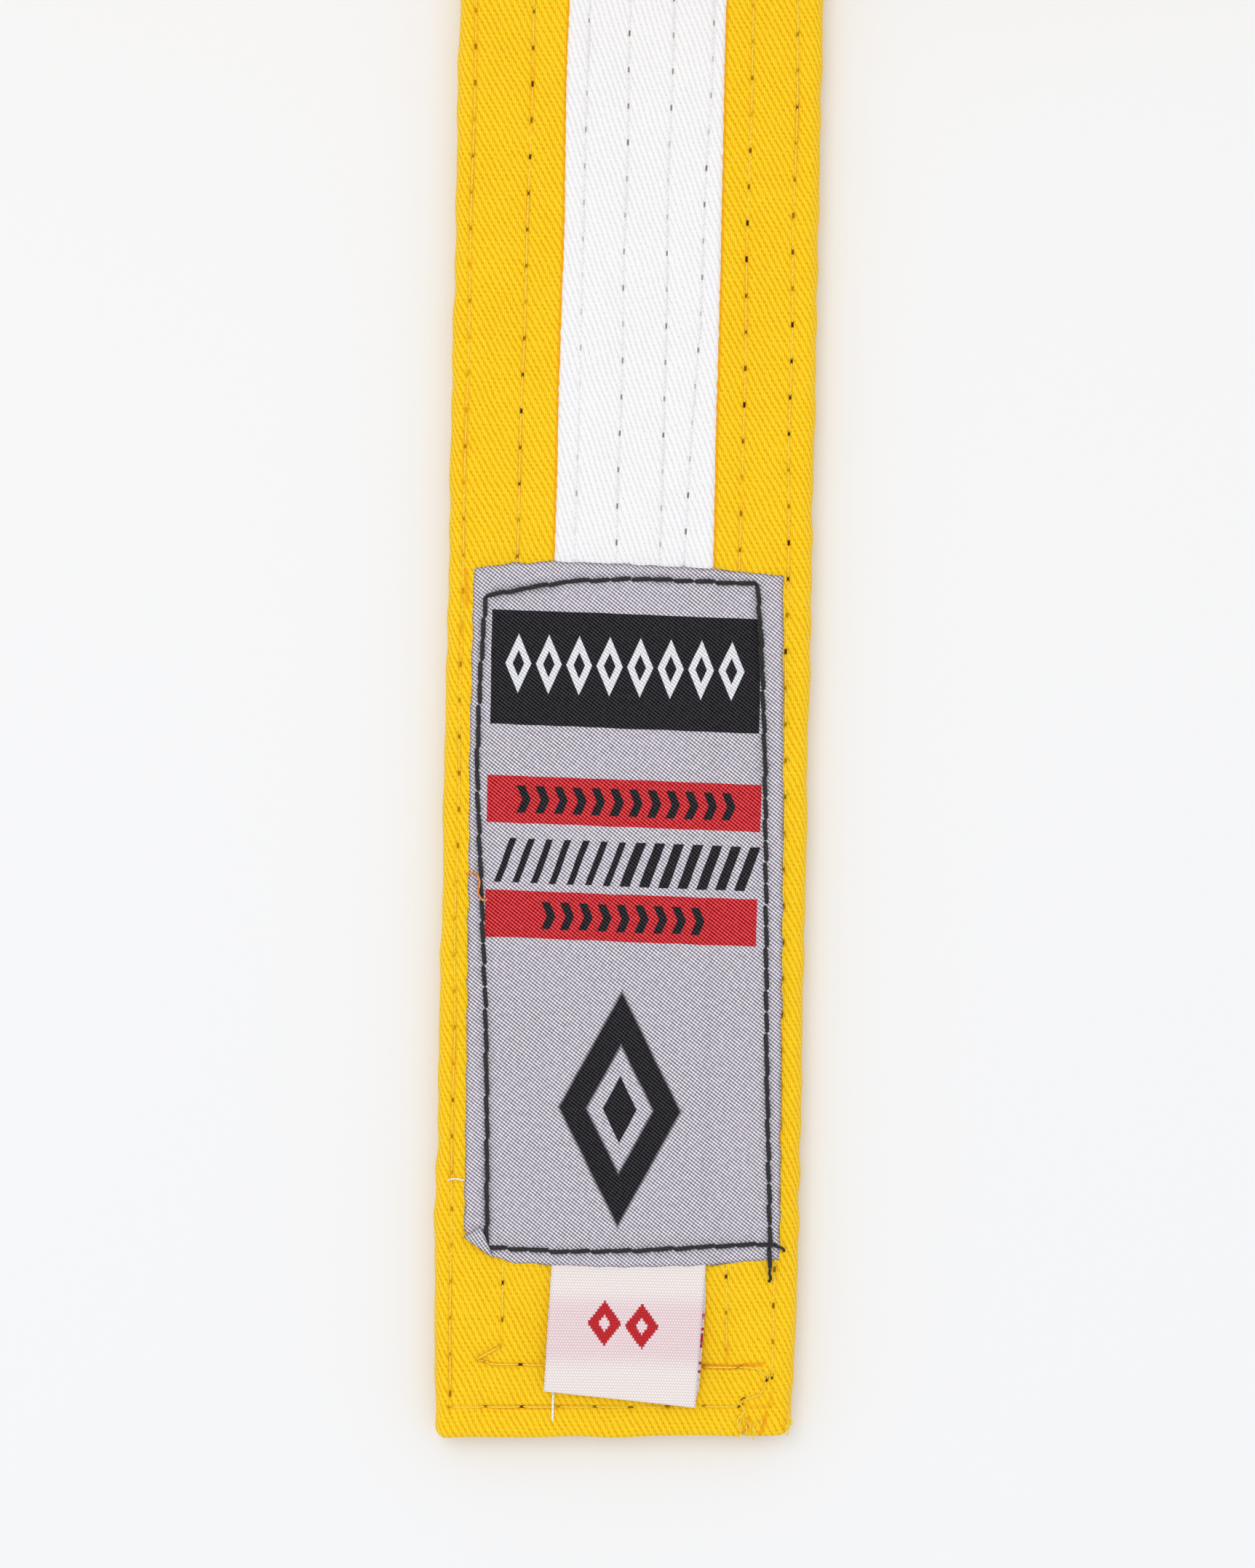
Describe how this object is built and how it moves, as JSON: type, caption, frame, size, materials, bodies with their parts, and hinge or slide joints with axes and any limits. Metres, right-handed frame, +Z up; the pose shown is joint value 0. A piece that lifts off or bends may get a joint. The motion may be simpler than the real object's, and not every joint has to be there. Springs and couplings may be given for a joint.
{
  "type": "martial arts belt",
  "caption": "Flat woven martial arts belt with a centre stripe, topstitched rows, a sewn label with a folded size tab at one end, and the rest of its length rolled up.",
  "frame": {"origin": "bottom centre of the bounding box: the floor under the middle of the laid-out belt and its roll", "axes": "+X across the belt, +Y along the belt from the labelled end to the roll, +Z up, the label's face"},
  "size_m": [0.04, 0.3253, 0.1266],
  "materials": {
    "cover_twill": "matte",
    "core_canvas": "matte",
    "stripe_tape": "matte",
    "cover_thread": "matte",
    "stripe_thread": "matte",
    "label_satin": "matte",
    "label_thread": "matte",
    "tab_tape": "matte"
  },
  "bodies": {
    "rolled_length": {"rolled_cover": "cover_twill", "rolled_back_ply": "core_canvas", "rolled_middle_ply": "core_canvas", "rolled_front_ply": "core_canvas", "rolled_front_stripe": "stripe_tape", "rolled_back_stripe": "stripe_tape", "rolled_cover_stitching": "cover_thread", "rolled_stripe_stitching": "stripe_thread", "lead_cover": "cover_twill", "lead_back_ply": "core_canvas", "lead_middle_ply": "core_canvas", "lead_front_ply": "core_canvas", "lead_front_stripe": "stripe_tape", "lead_back_stripe": "stripe_tape", "lead_cover_stitching": "cover_thread", "lead_stripe_stitching": "stripe_thread"},
    "strap": {"strap_cover": "cover_twill", "strap_back_ply": "core_canvas", "strap_middle_ply": "core_canvas", "strap_front_ply": "core_canvas", "strap_front_stripe": "stripe_tape", "strap_back_stripe": "stripe_tape", "strap_cover_stitching": "cover_thread", "strap_stripe_stitching": "stripe_thread"},
    "belt_end": {"end_cover": "cover_twill", "end_back_ply": "core_canvas", "end_middle_ply": "core_canvas", "end_front_ply": "core_canvas", "end_front_stripe": "stripe_tape", "end_back_stripe": "stripe_tape", "end_cover_stitching": "cover_thread", "end_cross_stitching": "cover_thread", "end_front_stripe_stitching": "stripe_thread", "end_back_stripe_stitching": "stripe_thread", "label": "label_satin", "label_stitching": "label_thread", "size_tab_ends": "tab_tape"},
    "tab": {"size_tab": "tab_tape"}
  },
  "joints": [
    {"name": "strap_bend", "type": "hinge", "parent": "rolled_length", "child": "strap", "pos_m": [0, 0.02235, 0.0023], "axis": [-1, 0, 0], "range_deg": [0, 60]},
    {"name": "end_bend", "type": "hinge", "parent": "strap", "child": "belt_end", "pos_m": [0, -0.05265, 0.0023], "axis": [-1, 0, 0], "range_deg": [0, 60]},
    {"name": "tab_flap", "type": "hinge", "parent": "belt_end", "child": "tab", "pos_m": [0.0008, -0.14475, 0.00515], "axis": [-1, 0, 0], "range_deg": [0, 160]}
  ]
}
